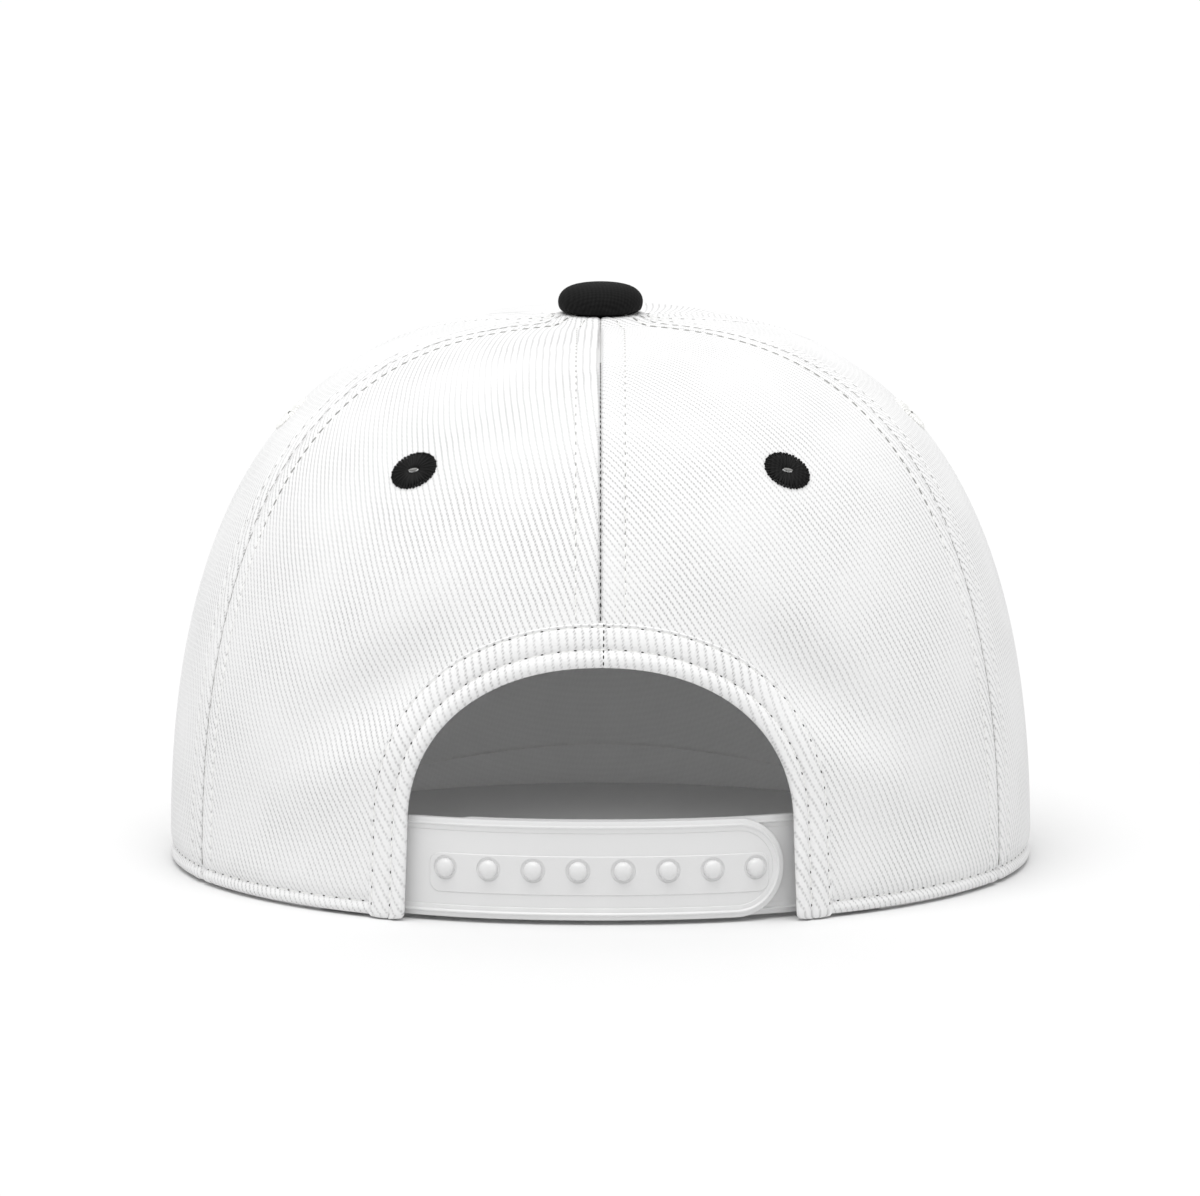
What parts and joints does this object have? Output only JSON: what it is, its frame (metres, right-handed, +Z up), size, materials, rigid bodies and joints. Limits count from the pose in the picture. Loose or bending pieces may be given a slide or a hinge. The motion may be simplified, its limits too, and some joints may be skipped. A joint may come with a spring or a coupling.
{
  "type": "snapback cap",
  "caption": "Panelled snapback cap, open below for the head, with a top button, vent eyelets, a flat brim and a plastic snap strap under an arched rear opening.",
  "frame": {"origin": "on the surface that the cap rests on, under the middle of its length and width", "axes": "+Z up, +Y towards the rear opening and its strap, -Y towards the brim, +X towards the wearer's left"},
  "size_m": [0.185, 0.2612, 0.1245],
  "materials": {
    "crown_twill": "white cotton twill with fine diagonal ribs",
    "brim_twill": "white cotton twill over a stiff board, with rows of stitching",
    "band_cloth": "plain woven cotton",
    "button_cloth": "black woven cloth",
    "black_thread": "black embroidery thread",
    "white_thread": "white embroidery thread",
    "strap_plastic": "satin translucent white moulded plastic"
  },
  "bodies": {
    "root": {"rear_panel_left": "crown_twill", "rear_panel_right": "crown_twill", "side_panel_left": "crown_twill", "side_panel_right": "crown_twill", "front_panel_left": "crown_twill", "front_panel_right": "crown_twill", "arch_binding": "crown_twill", "brim": "brim_twill", "sweatband": "band_cloth", "top_button": "button_cloth", "eyelet_rear_left": "black_thread", "eyelet_rear_right": "black_thread", "eyelet_side_left": "white_thread", "eyelet_side_right": "white_thread", "eyelet_front_left": "white_thread", "eyelet_front_right": "white_thread", "strap_outer": "strap_plastic", "strap_inner": "strap_plastic"}
  },
  "joints": []
}
